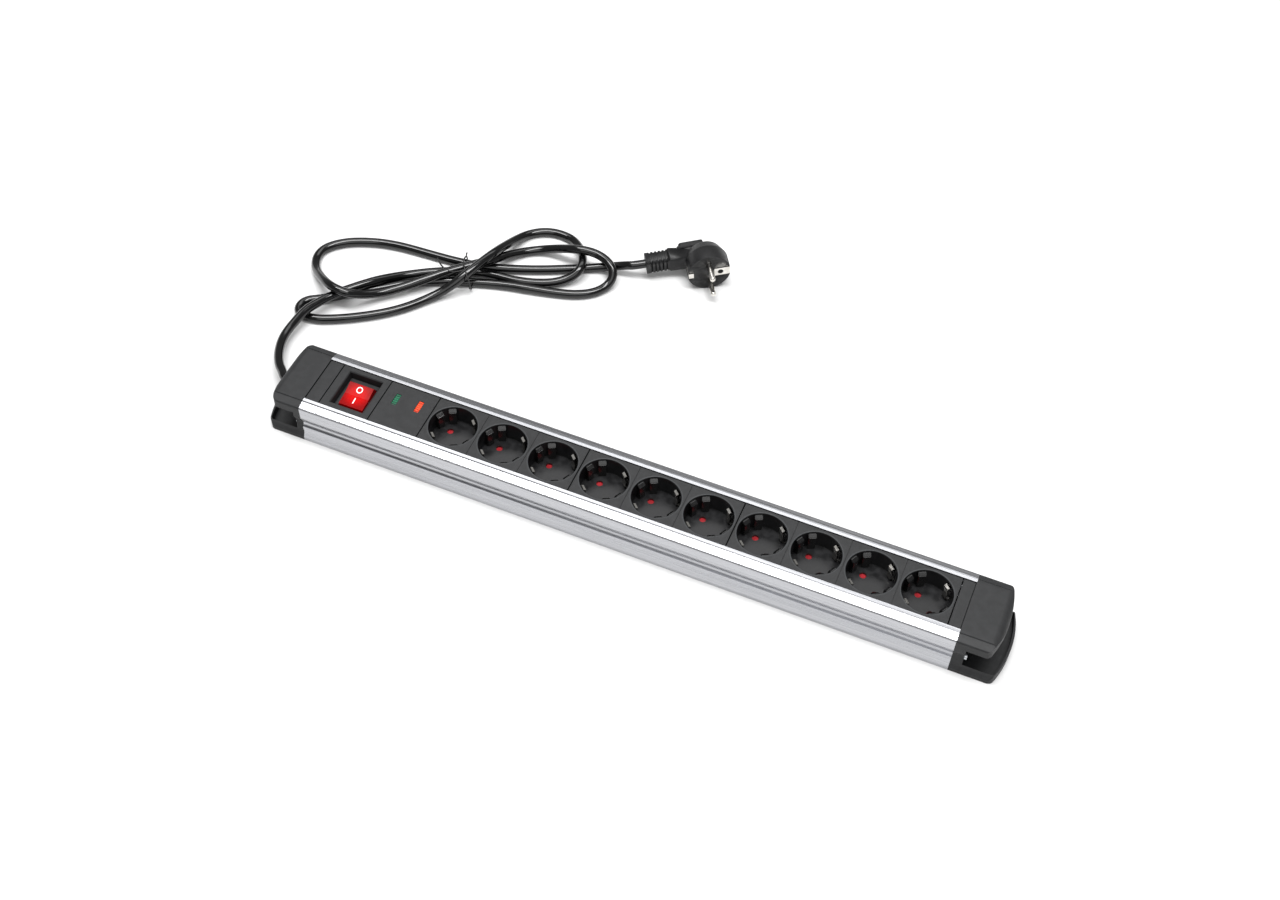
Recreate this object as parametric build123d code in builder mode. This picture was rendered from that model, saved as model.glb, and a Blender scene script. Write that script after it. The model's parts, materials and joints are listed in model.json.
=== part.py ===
"""Ten-way earthed power strip: aluminium channel, socket blocks, lit rocker switch, surge module, cord and plug."""

import os
from math import cos, pi, radians, sin, tan

from build123d import *

os.makedirs("parts", exist_ok=True)

# --- driving dimensions, mm; X runs along the strip, Y to the back, Z up from the floor -------------------------
pitch = 44.0                      # one module, and one socket to the next
socket_count = 10
block_sizes = (3, 3, 4)           # sockets in each moulded block
cells_start = -264.0              # left edge of the switch module
socket_start = cells_start + 2 * pitch
cells_end = socket_start + socket_count * pitch
rail_left, rail_right = -276.5, 274.0
rail_length = rail_right - rail_left
cap_end_top, cap_end_foot = 306.5, 313.8      # how far the upper shell and the foot of a cap reach from X = 0
seam = 0.35                       # half the gap between two modules

deck_z = 41.7
deck_half = 22.45                 # half the width of the deck between the channel's lips
deck_thick = 2.6
rail_top = 42.6
half_width = 32.7

well_r, well_depth = 19.75, 17.5
well_floor = deck_z - well_depth
cup_wall = 1.5
floor_thick = 1.8
pin_circle_r = 9.5                # the two pins stand 19 mm apart
pin_line_angle = 135.0            # the sockets are turned by 45 degrees
pin_hole_r = 2.75
pin_offset = pin_circle_r * cos(radians(45))
clip_angle = 45.0

jaw_bottom, jaw_top = 10.2, 31.7  # the open mouth in each end cap
jaw_inner = 283.0
cap_wall = 2.0
cord_r = 4.0
gland_z = 20.9
clamp_screw_y = 7.0

switch_x = -241.3
switch_y = 0.6
switch_tilt = 12.0                # the rocker leans this far either way
rocker_pivot_z = deck_z - 10.0

plug_face = Vector(-33.6, 263.4, 19.4)
plug_turn, plug_lean = 32.1, 5.5  # degrees about Z, and the droop towards the cord
plug_pin_length = 19.0


def socketCentres(first, count):
    """Centres of some sockets along the deck."""
    return [(socket_start + (first + i + 0.5) * pitch, 0) for i in range(count)]


def polar(radius, angle):
    return (radius * cos(radians(angle)), radius * sin(radians(angle)))


def save(builder, name):
    builder.part.label = name
    export_step(builder.part, f"parts/{name}.step")


all_centres = socketCentres(0, socket_count)
pin_spots = [polar(pin_circle_r, pin_line_angle), polar(pin_circle_r, pin_line_angle + 180)]

# --- the channel ----------------------------------------------------------------------------------------------
flank = [
    (half_width, 0), (half_width, 3.6), (31.2, 7.4), (31.0, 8.4), (29.5, 19.6), (32.0, 26.4), (32.3, 27.2),
    (32.6, 35.8), (half_width, 38.9), (31.9, 40.2), (26.4, 42.3), (25.9, 41.8), (25.2, 42.5), (22.7, rail_top),
]
cavity_half = 26.6
screw_port_spots = [(side * 24.9, height) for side in (-1, 1) for height in (14.0, 28.0)]

with BuildSketch(Plane.YZ) as outer_section:
    with BuildLine():
        Polyline([(-y, z) for y, z in reversed(flank)] + flank, close=True)
    make_face()

with BuildPart() as aluminium_profile:
    with BuildSketch(Plane.YZ.offset(rail_left)):
        add(outer_section.sketch_local)
        with Locations((0, (rail_top + 2) / 2 + 1)):
            Rectangle(2 * (deck_half + 0.2), rail_top - 2 + 0.2, mode=Mode.SUBTRACT)
        with Locations((0, (2.0 + 39.4) / 2)):
            Rectangle(2 * cavity_half, 39.4 - 2.0, mode=Mode.SUBTRACT)
        with Locations(*screw_port_spots):
            Circle(2.7)
        with Locations(*[(1.18 * y, z) for y, z in screw_port_spots]):
            Rectangle(4, 4)
        with Locations(*screw_port_spots):
            Circle(1.5, mode=Mode.SUBTRACT)
    extrude(amount=rail_length)
save(aluminium_profile, "aluminium_profile")


# --- end caps -------------------------------------------------------------------------------------------------
def capPlan(reach, inset=0.0, start=268.0):
    """Plan of one cap shell: straight sides, rounded corners and a slightly bowed end."""
    edge = half_width - inset
    corner = reach - 4.4
    with BuildSketch(Plane.XY) as plan:
        with BuildLine():
            Polyline((corner - 2, edge), (start, edge), (start, -edge), (corner - 2, -edge))
            ThreePointArc((corner - 2, -edge), (reach - inset, 0), (corner - 2, edge))
        make_face()
        fillet(plan.vertices().group_by(Axis.X)[-1], radius=max(1.0, 5.0 - inset))
    return plan.sketch_local


def makeCap(outer_x):
    """Right-hand cap; the left one is its mirror image."""
    with BuildPart() as cap:
        with BuildSketch(Plane.YZ.offset(outer_x)):
            add(outer_section.sketch_local)
        extrude(amount=cap_end_foot - outer_x + 2)
        with BuildSketch(Plane.XY.offset(-1)):
            add(capPlan(cap_end_foot, start=outer_x))
        extrude(amount=rail_top + 2, mode=Mode.INTERSECT)
        with BuildSketch(Plane.XY.offset(jaw_top)):
            Rectangle(2 * (cap_end_foot + 5), 80)
            add(capPlan(cap_end_top, start=outer_x - 1), mode=Mode.SUBTRACT)
            with Locations((outer_x - 200, 0)):
                Rectangle(400, 80, mode=Mode.SUBTRACT)
        extrude(amount=rail_top, mode=Mode.SUBTRACT)
        with BuildSketch(Plane.XZ.offset(-half_width - 5)):
            with Locations((jaw_inner + 20, (jaw_bottom + jaw_top) / 2)):
                Rectangle(40, jaw_top - jaw_bottom)
        extrude(amount=2 * half_width + 10, mode=Mode.SUBTRACT)
        with BuildSketch(Plane.XZ.offset(-half_width - 5)):
            with BuildLine():
                drop = 8.0
                Polyline((cap_end_top - drop, rail_top + 3), (cap_end_top + 9, rail_top + 3),
                         (cap_end_top + 9, rail_top - drop), (cap_end_top, rail_top - drop))
                RadiusArc((cap_end_top, rail_top - drop), (cap_end_top - drop, rail_top), -drop)
                Line((cap_end_top - drop, rail_top), (cap_end_top - drop, rail_top + 3))
            make_face()
        extrude(amount=2 * half_width + 10, mode=Mode.SUBTRACT)
        with BuildSketch(Plane.XY.offset(2.4)):
            add(capPlan(cap_end_foot, inset=cap_wall, start=jaw_inner))
        extrude(amount=jaw_bottom, mode=Mode.SUBTRACT)
        with BuildSketch(Plane.XY.offset(jaw_top - 1)):
            add(capPlan(cap_end_top, inset=cap_wall, start=jaw_inner))
        extrude(amount=rail_top - 3.0 - jaw_top + 1, mode=Mode.SUBTRACT)
        with BuildSketch(Plane.YZ.offset(outer_x)):
            with Locations((0, 20.5)):
                Rectangle(2 * 26.0, 36.0)
        extrude(amount=jaw_inner - cap_wall - outer_x, mode=Mode.SUBTRACT)
        with BuildSketch(Plane.YZ.offset(outer_x - 6)):
            with Locations((0, 19.5)):
                Rectangle(42.0, 31.0)
                Rectangle(38.4, 27.4, mode=Mode.SUBTRACT)
        extrude(amount=jaw_inner - cap_wall - outer_x + 6)
        with BuildSketch(Plane.YZ.offset(jaw_inner)):
            with Locations((-19.5, 21.0), (19.5, 21.0)):
                Rectangle(1.8, rail_top - 6)
        extrude(amount=4.0)
        with BuildSketch(Plane.YZ.offset(outer_x)):
            with Locations(*screw_port_spots):
                Circle(1.8)
        extrude(amount=20, mode=Mode.SUBTRACT)
    return cap.part


with BuildPart() as right_end_cap:
    add(makeCap(rail_right))
save(right_end_cap, "right_end_cap")

with BuildPart() as left_end_cap:
    add(mirror(makeCap(-rail_left), about=Plane.YZ))
    with Locations((rail_left + 1, 0, 11.2)):
        Box(6, 20, 11.0)
    with Locations(*[(rail_left + 1, y, 13.0) for y in (-clamp_screw_y, clamp_screw_y)]):
        Cylinder(1.3, 12.0, mode=Mode.SUBTRACT)
    with BuildSketch(Plane.YZ.offset(-jaw_inner - 1)):
        with Locations((0, gland_z)):
            Circle(6.2)
    extrude(amount=4, mode=Mode.SUBTRACT)
save(left_end_cap, "left_end_cap")


# --- deck modules ---------------------------------------------------------------------------------------------
def deckPlate(left, right):
    """A plate between the channel's lips with the two ribs that slide in its grooves; adds to the open part."""
    middle = (left + right) / 2
    length = right - left - 2 * seam
    with Locations((middle, 0, deck_z - deck_thick / 2)):
        plate = Box(length, 2 * deck_half, deck_thick)
    fillet(plate.edges().group_by(Axis.Z)[-1], radius=0.35)
    with Locations((middle, 0, 38.0)):
        Box(length, 52.0, 2.4)
        Box(length, 41.0, 2.6, mode=Mode.SUBTRACT)
    with Locations((middle, 21.4, 38.5), (middle, -21.4, 38.5)):
        Box(length, 1.8, 3.0)


with BuildPart() as left_blank_plate:
    deckPlate(rail_left, cells_start)
save(left_blank_plate, "left_blank_plate")

with BuildPart() as right_blank_plate:
    deckPlate(cells_end, rail_right)
save(right_blank_plate, "right_blank_plate")

# --- rocker switch --------------------------------------------------------------------------------------------
recess_length, recess_width, recess_depth = 29.6, 34.5, 9.0
recess_floor = deck_z - recess_depth
switch_plane = Plane((switch_x, switch_y, 0))
rocker_length, rocker_r = 21.5, 12.4
pole_spots = (-5.5, 5.5)
terminal_spots = [(x, y) for x in pole_spots for y in (0.0, 9.2)]

with BuildPart() as switch_frame:
    deckPlate(cells_start, cells_start + pitch)
    with BuildSketch(Plane((switch_x, switch_y, recess_floor - 1.5))):
        Rectangle(recess_length + 2.6, recess_width + 2.6)
    extrude(amount=recess_depth)
    with BuildSketch(Plane((switch_x, switch_y, recess_floor))):
        Rectangle(recess_length, recess_width)
    extrude(amount=recess_depth + 1, mode=Mode.SUBTRACT)
    with BuildSketch(Plane((switch_x, switch_y, recess_floor - 2))):
        Rectangle(26.3, 30.3)
    extrude(amount=3, mode=Mode.SUBTRACT)
    rim = switch_frame.edges().filter_by(Plane.XY).group_by(Axis.Z)[-1]
    inner_rim = [e for e in rim if abs(e.center().X - switch_x) < 16 and abs(e.center().Y - switch_y) < 17.5]
    chamfer(inner_rim, length=0.8)
save(switch_frame, "switch_frame")

with BuildPart() as switch_housing:
    with BuildSketch(Plane((switch_x, switch_y, recess_floor + 0.05))):
        Rectangle(29.2, 34.1)
    extrude(amount=1.6)
    fillet(switch_housing.edges().group_by(Axis.Z)[-1], radius=0.6)
    with BuildSketch(Plane((switch_x, switch_y, 8.0))):
        Rectangle(26.0, 30.0)
    extrude(amount=recess_floor - 7.0)
    with BuildSketch(Plane((switch_x, switch_y, 10.0))):
        Rectangle(22.4, 26.2)
    extrude(amount=30, mode=Mode.SUBTRACT)
    with BuildSketch(Plane((switch_x, switch_y, 7.0))):
        with Locations(*terminal_spots):
            Rectangle(6.5, 1.0)
    extrude(amount=4, mode=Mode.SUBTRACT)
    with Locations(Plane((switch_x, switch_y, rocker_pivot_z), z_dir=(1, 0, 0))):
        Cylinder(1.56, 40, mode=Mode.SUBTRACT)
save(switch_housing, "switch_housing")



def leaningPlane(x, z, lean):
    """Plane across X whose own x axis points to the back and rises by the lean."""
    back = (0, cos(radians(lean)), sin(radians(lean)))
    return Plane((x, switch_y, z), x_dir=back, z_dir=(1, 0, 0))


rocker_plane = leaningPlane(switch_x, rocker_pivot_z, switch_tilt)
with BuildPart() as switch_rocker:
    with BuildSketch(rocker_plane):
        Circle(rocker_r)
        with BuildLine():
            Polyline((-15, 7.0), (-11, 6.3), (0, 5.3), (11, 6.3), (15, 7.0), (15, -5.0), (-15, -5.0), close=True)
        make_face(mode=Mode.INTERSECT)
    extrude(amount=rocker_length / 2, both=True)
    fillet(switch_rocker.edges().group_by(Axis.Z)[-1], radius=0.3)
    with BuildSketch(rocker_plane):
        with Locations((0, -3.5)):
            Rectangle(14, 5.0)
    extrude(amount=8.6, both=True, mode=Mode.SUBTRACT)
    with BuildSketch(rocker_plane):
        Circle(3.0)
    extrude(amount=rocker_length / 2, both=True)
    with BuildSketch(rocker_plane):
        Circle(1.56)
    extrude(amount=rocker_length, both=True, mode=Mode.SUBTRACT)
save(switch_rocker, "switch_rocker")

with BuildPart() as rocker_pivot_pin:
    with Locations(Plane((switch_x, switch_y, rocker_pivot_z), z_dir=(1, 0, 0))):
        Cylinder(1.5, 25.6)
save(rocker_pivot_pin, "rocker_pivot_pin")

with BuildPart() as rocker_plungers:
    with Locations(*[rocker_plane.offset(x) for x in pole_spots]):
        with Locations((0, -7.3, 0)):
            Cylinder(1.1, 8.2, rotation=(90, 0, 0))
save(rocker_plungers, "rocker_plungers")

arm_pivot_z = rocker_pivot_z - 13.2
arm_tilt = -switch_tilt / 2
for name, x in (("live_contact_arm", pole_spots[0]), ("neutral_contact_arm", pole_spots[1])):
    arm_plane = leaningPlane(switch_x + x, arm_pivot_z, arm_tilt)
    with BuildPart() as contact_arm:
        with BuildSketch(arm_plane):
            Rectangle(20.0, 0.8)
            with Locations((9.2, -0.8)):
                Rectangle(1.6, 1.0)
        extrude(amount=2.4, both=True)
    save(contact_arm, name)

with BuildPart() as switch_terminals:
    with BuildSketch(Plane((switch_x, switch_y, 3.4))):
        with Locations(*[(x, 0) for x in pole_spots]):
            Rectangle(6.3, 0.8)
    extrude(amount=arm_pivot_z - 0.5 - 3.4)
    with BuildSketch(Plane((switch_x, switch_y, 3.4))):
        with Locations(*[(x, 9.2) for x in pole_spots]):
            Rectangle(6.3, 0.8)
    extrude(amount=arm_pivot_z - 2.9 - 3.4)
save(switch_terminals, "switch_terminals")

with BuildPart() as switch_lamp:
    with Locations(rocker_plane):
        with Locations((0, -3.9, 0)):
            Cylinder(0.8, 8.0)
save(switch_lamp, "switch_lamp")

# --- surge and earth indicator module -------------------------------------------------------------------------
module_left = cells_start + pitch
lamp_spots = {"green_lens": (-208.3, 6.5), "red_lens": (-188.0, 6.8)}
lens_width, lens_length = 4.2, 11.6
board_z = 29.0
board_middle = module_left + pitch / 2

with BuildPart() as indicator_plate:
    deckPlate(module_left, module_left + pitch)
    with BuildSketch(Plane.XY.offset(deck_z - 6)):
        with Locations(*lamp_spots.values()):
            RectangleRounded(lens_width + 0.2, lens_length + 0.2, 0.7)
    extrude(amount=7, mode=Mode.SUBTRACT)
    with BuildSketch(Plane.XY.offset(board_z + 1.65)):
        with Locations(*[(board_middle + x, y) for x in (-18, 18) for y in (-15.5, 15.5)]):
            Circle(2.4)
    extrude(amount=deck_z - 1 - board_z - 1.65)
save(indicator_plate, "indicator_plate")

for name, spot in lamp_spots.items():
    with BuildPart() as lens:
        with BuildSketch(Plane((spot[0], spot[1], 37.4))):
            RectangleRounded(lens_width, lens_length, 0.6)
        extrude(amount=deck_z - 0.1 - 37.4)
        fillet(lens.edges().group_by(Axis.Z)[-1], radius=0.4)
        with BuildSketch(Plane((spot[0], spot[1], 36.4))):
            Rectangle(lens_width + 2, lens_length + 2)
        extrude(amount=1.0)
    save(lens, name)

with BuildPart() as surge_board:
    with BuildSketch(Plane((board_middle, 0, board_z))):
        RectangleRounded(40.0, 38.0, 1.0)
        with Locations((17.5, 0), (-17.5, 0)):
            Circle(1.2, mode=Mode.SUBTRACT)
    extrude(amount=1.6)
save(surge_board, "surge_board")

with BuildPart() as indicator_leds:
    with BuildSketch(Plane.XY.offset(board_z + 1.6)):
        with Locations(*lamp_spots.values()):
            Circle(1.5)
    extrude(amount=3.6)
    fillet(indicator_leds.edges().group_by(Axis.Z)[-1], radius=1.2)
save(indicator_leds, "indicator_leds")

with BuildPart() as surge_varistors:
    for x in (-10.0, 0.0, 10.0):
        with Locations(Plane((board_middle + x, 4.0, board_z - 8.0), z_dir=(1, 0, 0))):
            Cylinder(7.0, 4.2)
        with Locations((board_middle + x, 1.4, board_z - 2.0), (board_middle + x, 6.6, board_z - 2.0)):
            Box(0.8, 0.8, 4.0)
save(surge_varistors, "surge_varistors")

with BuildPart() as thermal_fuse:
    with Locations(Plane((board_middle, -11.0, board_z - 3.2), z_dir=(1, 0, 0))):
        Cylinder(2.2, 14.0)
        Cylinder(0.4, 22.0)
save(thermal_fuse, "thermal_fuse")

# --- socket blocks --------------------------------------------------------------------------------------------
rotor_top = well_floor - floor_thick - 0.4
base_floor, base_top = 2.2, well_floor - floor_thick - 0.2
rail_y = 16.5
strip_y = 11.0


def makeBlock(centres, left, right):
    """Deck, cups, guide ribs, pin holes and clip slots of one moulding."""
    with BuildPart() as block:
        deckPlate(left, right)
        with BuildSketch(Plane.XY.offset(well_floor - floor_thick)):
            with Locations(*centres):
                Circle(well_r + cup_wall)
        extrude(amount=well_depth + floor_thick - 0.5)
        with BuildSketch(Plane.XY.offset(well_floor)):
            with Locations(*centres):
                Circle(well_r)
        extrude(amount=well_depth + 1, mode=Mode.SUBTRACT)
        rims = [e for e in block.edges().filter_by(GeomType.CIRCLE) if abs(e.radius - well_r) < 0.01]
        fillet([e for e in rims if e.center().Z > deck_z - 0.1], radius=0.6)
        with BuildSketch(Plane.XY.offset(well_floor - 0.2)):
            with Locations(*centres):
                for side in (0, 180):
                    for turn in (-18, 18):
                        with PolarLocations(18.55, 1, start_angle=pin_line_angle + side + turn):
                            Rectangle(3.3, 3.2)
        extrude(amount=well_depth - 4.0 + 0.2)
        with BuildSketch(Plane.XY.offset(well_floor - 5)):
            with Locations(*centres):
                with Locations(*pin_spots):
                    Circle(pin_hole_r)
        extrude(amount=8, mode=Mode.SUBTRACT)
        with BuildSketch(Plane.XY.offset(well_floor - 5)):
            with Locations(*centres):
                with PolarLocations(19.35, 2, start_angle=clip_angle):
                    Rectangle(4.9, 6.4)
        extrude(amount=5 + well_depth - 1.8, mode=Mode.SUBTRACT)
        with BuildSketch(Plane.XY.offset(deck_z)):
            with Locations(*[(x + pitch / 2, 0) for x, _ in centres[:-1]]):
                Rectangle(0.4, 2 * deck_half)
        extrude(amount=-0.5, mode=Mode.SUBTRACT)
    return block.part


def makeBase(centres, left, right):
    """Tray under the cups, with the posts that the shutters turn on."""
    length = right - left - 1.2
    middle = (left + right) / 2
    with BuildPart() as base:
        with BuildSketch(Plane((middle, 0, base_floor))):
            Rectangle(length, 43.8)
        extrude(amount=base_top - base_floor)
        with BuildSketch(Plane((middle, 0, base_floor + 1.4))):
            Rectangle(length - 3.2, 40.6)
        extrude(amount=base_top, mode=Mode.SUBTRACT)
        with BuildSketch(Plane((middle, 0, 8.0))):
            with Locations((0, strip_y), (0, -strip_y), (0, -rail_y)):
                Rectangle(length + 2, 3.2)
        extrude(amount=base_top, mode=Mode.SUBTRACT)
        with BuildSketch(Plane.XY.offset(base_floor + 1)):
            with Locations(*centres):
                Circle(3.2)
        extrude(amount=19.0 - base_floor - 1)
        with BuildSketch(Plane.XY.offset(18.0)):
            with Locations(*centres):
                Circle(1.9)
        extrude(amount=rotor_top - 18.0)
        with BuildSketch(Plane.XY.offset(base_floor + 1)):
            with Locations(*[(x, side * (rail_y + 1.4)) for x, _ in centres for side in (-1, 1)]):
                Rectangle(6.0, 2.0)
        extrude(amount=18.4 - base_floor - 1)
    return base.part


def makeEarthFrame(centres):
    """Two rails, a cross link and a pair of sprung earth clips in every socket."""
    first, last = centres[0][0], centres[-1][0]
    middle = (first + last) / 2
    with BuildPart() as earth:
        with BuildSketch(Plane.XY.offset(18.5)):
            with Locations((middle, rail_y), (middle, -rail_y)):
                Rectangle(last - first + 34.0, 3.0)
            with Locations((first + pitch / 2, 0)):
                Rectangle(4.0, 2 * rail_y)
            with Locations(*centres):
                with PolarLocations(20.6, 2, start_angle=clip_angle):
                    Rectangle(6.4, 5.0)
        extrude(amount=0.8)
        for x, _ in centres:
            for angle in (clip_angle, clip_angle + 180):
                along = (cos(radians(angle)), sin(radians(angle)), 0)
                across = (sin(radians(angle)), -cos(radians(angle)), 0)
                with BuildSketch(Plane((x, 0, 0), x_dir=along, z_dir=across)):
                    with BuildLine():
                        Polyline((17.4, 18.6), (17.4, 25.2), (16.2, 26.4), (17.5, 31.0), (16.0, 37.4), (16.3, 38.4),
                                 (18.1, 39.4), (18.7, 39.0), (16.9, 37.8), (18.3, 31.0), (17.2, 26.6),
                                 (18.2, 25.4), (18.2, 18.6), close=True)
                    make_face()
                extrude(amount=2.5, both=True)
    return earth.part


block_left = socket_start
first_socket = 0
for number, count in enumerate(block_sizes, start=1):
    block_right = block_left + count * pitch
    centres = socketCentres(first_socket, count)
    with BuildPart() as socket_block:
        add(makeBlock(centres, block_left, block_right))
    save(socket_block, f"socket_block_{number}")
    with BuildPart() as socket_base:
        add(makeBase(centres, block_left, block_right))
    save(socket_base, f"socket_base_{number}")
    with BuildPart() as earth_frame:
        add(makeEarthFrame(centres))
    save(earth_frame, f"earth_frame_{number}")
    block_left = block_right
    first_socket += count

# --- busbars, shutters and their springs ----------------------------------------------------------------------
for name, side in (("live_busbar", 1), ("neutral_busbar", -1)):
    pin_y = side * pin_offset
    with BuildPart() as busbar:
        with BuildSketch(Plane.XY.offset(9.0)):
            with Locations(((all_centres[0][0] + all_centres[-1][0]) / 2, side * strip_y)):
                Rectangle(all_centres[-1][0] - all_centres[0][0] + 30.0, 0.8)
            for x, _ in all_centres:
                pin_x = x - side * pin_offset
                with Locations((pin_x, pin_y + 2.8), (pin_x, pin_y - 2.8)):
                    Rectangle(7.0, 0.6)
                with Locations((pin_x - side * 3.7, side * (strip_y + pin_offset - 3.1) / 2)):
                    Rectangle(0.6, strip_y - pin_offset + 3.1)
        extrude(amount=5.5)
    save(busbar, name)

for number, (x, y) in enumerate(all_centres, start=1):
    with BuildPart() as shutter:
        with BuildSketch(Plane((x, y, rotor_top - 2.8))):
            Circle(4.4)
            with PolarLocations(6.6, 2, start_angle=pin_line_angle):
                SlotOverall(13.2, 7.0)
            Circle(2.0, mode=Mode.SUBTRACT)
        extrude(amount=2.8)
    save(shutter, f"shutter_{number:02d}")

with BuildPart() as spring:
    with BuildLine(Plane.XY.offset(15.8)) as coil:
        Helix(pitch=0.85, height=2.55, radius=4.0)
    with BuildSketch(Plane(coil.line @ 0, z_dir=coil.line % 0)):
        Circle(0.28)
    sweep()
with BuildPart() as shutter_springs:
    with Locations(*all_centres):
        add(spring.part)
save(shutter_springs, "shutter_springs")

# --- fasteners and the cable entry ----------------------------------------------------------------------------
with BuildPart() as cap_screws:
    for side in (-1, 1):
        with BuildSketch(Plane.YZ.offset(side * jaw_inner)):
            with Locations(*screw_port_spots):
                Circle(1.45)
        extrude(amount=-side * 17.0)
        with BuildSketch(Plane.YZ.offset(side * jaw_inner)):
            with Locations(*screw_port_spots):
                Circle(2.9)
        extrude(amount=side * 1.9)
        with BuildSketch(Plane.YZ.offset(side * (jaw_inner + 0.9))):
            with Locations(*screw_port_spots):
                Rectangle(3.4, 0.7)
                Rectangle(0.7, 3.4)
        extrude(amount=side * 2.0, mode=Mode.SUBTRACT)
save(cap_screws, "cap_screws")

sleeve_end = -287.0
with BuildPart() as cable_gland:
    with BuildSketch(Plane.XZ) as gland_half:
        with BuildLine():
            Polyline((-jaw_inner + 3.6, cord_r + 0.05), (sleeve_end, cord_r + 0.05), (sleeve_end, cord_r + 1.3),
                     (-jaw_inner - 2.6, cord_r + 2.4), (-jaw_inner - 2.6, cord_r + 4.2), (-jaw_inner - 0.05, cord_r + 4.2),
                     (-jaw_inner - 0.05, 6.1), (-jaw_inner + 2.1, 6.1), (-jaw_inner + 2.1, 6.9),
                     (-jaw_inner + 3.6, 6.9), close=True)
        make_face()
    revolve(axis=Axis.X)
cable_gland.part.position = (0, 0, gland_z)
save(cable_gland, "cable_gland")

with BuildPart() as cord_clamp:
    with Locations((rail_left + 1, 0, gland_z + cord_r + 1.7)):
        Box(5.6, 19.0, 3.2)
    with Locations(*[(rail_left + 1, y, gland_z + cord_r + 1.7) for y in (-clamp_screw_y, clamp_screw_y)]):
        Cylinder(1.6, 4.0, mode=Mode.SUBTRACT)
save(cord_clamp, "cord_clamp")

with BuildPart() as clamp_screws:
    head_z = gland_z + cord_r + 3.35
    with BuildSketch(Plane.XY.offset(head_z - 20.0)):
        with Locations(*[(rail_left + 1, y) for y in (-clamp_screw_y, clamp_screw_y)]):
            Circle(1.25)
    extrude(amount=20.0)
    with BuildSketch(Plane.XY.offset(head_z)):
        with Locations(*[(rail_left + 1, y) for y in (-clamp_screw_y, clamp_screw_y)]):
            Circle(2.6)
            Rectangle(3.2, 0.7, mode=Mode.SUBTRACT)
    extrude(amount=1.8)
save(clamp_screws, "clamp_screws")


# --- wires inside the channel ---------------------------------------------------------------------------------
def wire(points, radius=1.25, bend=1.6):
    """A round wire on straight runs joined by arcs; adds to the open part."""
    with BuildLine() as route:
        FilletPolyline(*points, radius=bend)
    with BuildSketch(Plane(route.line @ 0, z_dir=route.line % 0)) as section:
        Circle(radius)
    sweep(sections=section.sketch, path=route.line)


sheath_end = -268.0
with BuildPart() as inner_sheath:
    with Locations(Plane(((sleeve_end + sheath_end) / 2, 0, gland_z), z_dir=(1, 0, 0))):
        Cylinder(cord_r, sheath_end - sleeve_end)
save(inner_sheath, "inner_sheath")

tab_z = 4.9                       # height of the wires where they meet the terminals
live_x, neutral_x = switch_x + pole_spots[0], switch_x + pole_spots[1]
output_y = switch_y + 9.65
busbar_end = all_centres[0][0] - 15.05
with BuildPart() as live_wires:
    wire([(sheath_end + 0.05, 1.7, gland_z + 1), (-262.5, 1.7, gland_z + 1), (-257.5, 2.6, 12), (-256.8, 2.2, tab_z),
          (live_x - 3.2, switch_y, tab_z)])
    wire([(live_x, output_y, tab_z), (live_x, 14, tab_z), (-239, 16.4, tab_z), (-200, 14.6, tab_z),
          (-186, 11.6, 8), (-178, strip_y, 11.75), (busbar_end, strip_y, 11.75)])
save(live_wires, "live_wires")

with BuildPart() as neutral_wires:
    wire([(sheath_end + 0.05, -1.7, gland_z + 1), (-262, -1.7, gland_z + 1), (-257.5, -4.8, 12), (-256.5, -5.6, tab_z),
          (-246, -6.2, tab_z), (neutral_x, -5.0, tab_z), (neutral_x, switch_y - 0.45, tab_z)])
    wire([(neutral_x, output_y, tab_z), (neutral_x, 12.9, tab_z), (-229, 10.5, tab_z), (-206, -6, tab_z),
          (-186, -10.6, 8), (-178, -strip_y, 11.75), (busbar_end, -strip_y, 11.75)])
save(neutral_wires, "neutral_wires")

with BuildPart() as earth_wire:
    wire([(sheath_end + 0.05, 0, gland_z - 2.2), (-263.5, 0, gland_z - 2.2), (-260, -12, 9), (-253, -17.5, tab_z),
          (-228, -18.2, tab_z), (-192, -17.4, 6), (-181, -16.7, 15), (-177, -rail_y, 18.9),
          (all_centres[0][0] - 18.7, -rail_y, 18.9)])
save(earth_wire, "earth_wire")

# --- plug -----------------------------------------------------------------------------------------------------
turn, lean = radians(plug_turn), radians(plug_lean)
plug_along = Vector(cos(turn) * cos(lean), sin(turn) * cos(lean), sin(lean))   # away from the cord
plug_out = Vector(sin(turn), -cos(turn), 0)                                    # the way the pins point
plug_plane = Plane(plug_face, x_dir=plug_along, z_dir=plug_out)
plug_r = 19.3
boot_axis, boot_start, boot_stop = -24.0, -53.4, -33.0
boot_side = 12.6

with BuildPart() as plug_body:
    with BuildSketch(plug_plane):
        Circle(plug_r)
    extrude(amount=-15.0)
    with BuildSketch(plug_plane.offset(-15.0)):
        Circle(plug_r)
    extrude(amount=-19.0, taper=15)
    fillet(plug_body.edges().filter_by(GeomType.CIRCLE).sort_by(lambda e: (e.center() - plug_face).dot(plug_out))[0],
           radius=4.0)
    with BuildSketch(plug_plane.offset(boot_axis - 7.4)):
        with Locations((-18.0, 0)):
            RectangleRounded(30.0, 14.4, 2.0)
    extrude(amount=14.8)
    with BuildSketch(plug_plane.offset(0.01)):
        with Locations((17.6 + 3, 0), (-17.6 - 3, 0)):
            Rectangle(6.0, 9.6)
    extrude(amount=-14.0, mode=Mode.SUBTRACT)
    with BuildSketch(plug_plane.offset(1)):
        with Locations((0, 9.5), (0, -9.5)):
            Circle(2.42)
        with Locations((10.0, 0)):
            Circle(2.5)
    extrude(amount=-13.0, mode=Mode.SUBTRACT)
    with BuildSketch(plug_plane.offset(-36.0)):
        with Locations((-8.0, 0)):
            RectangleRounded(27.6, 13.0, 3.0)
    extrude(amount=12.1, mode=Mode.SUBTRACT)
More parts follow.
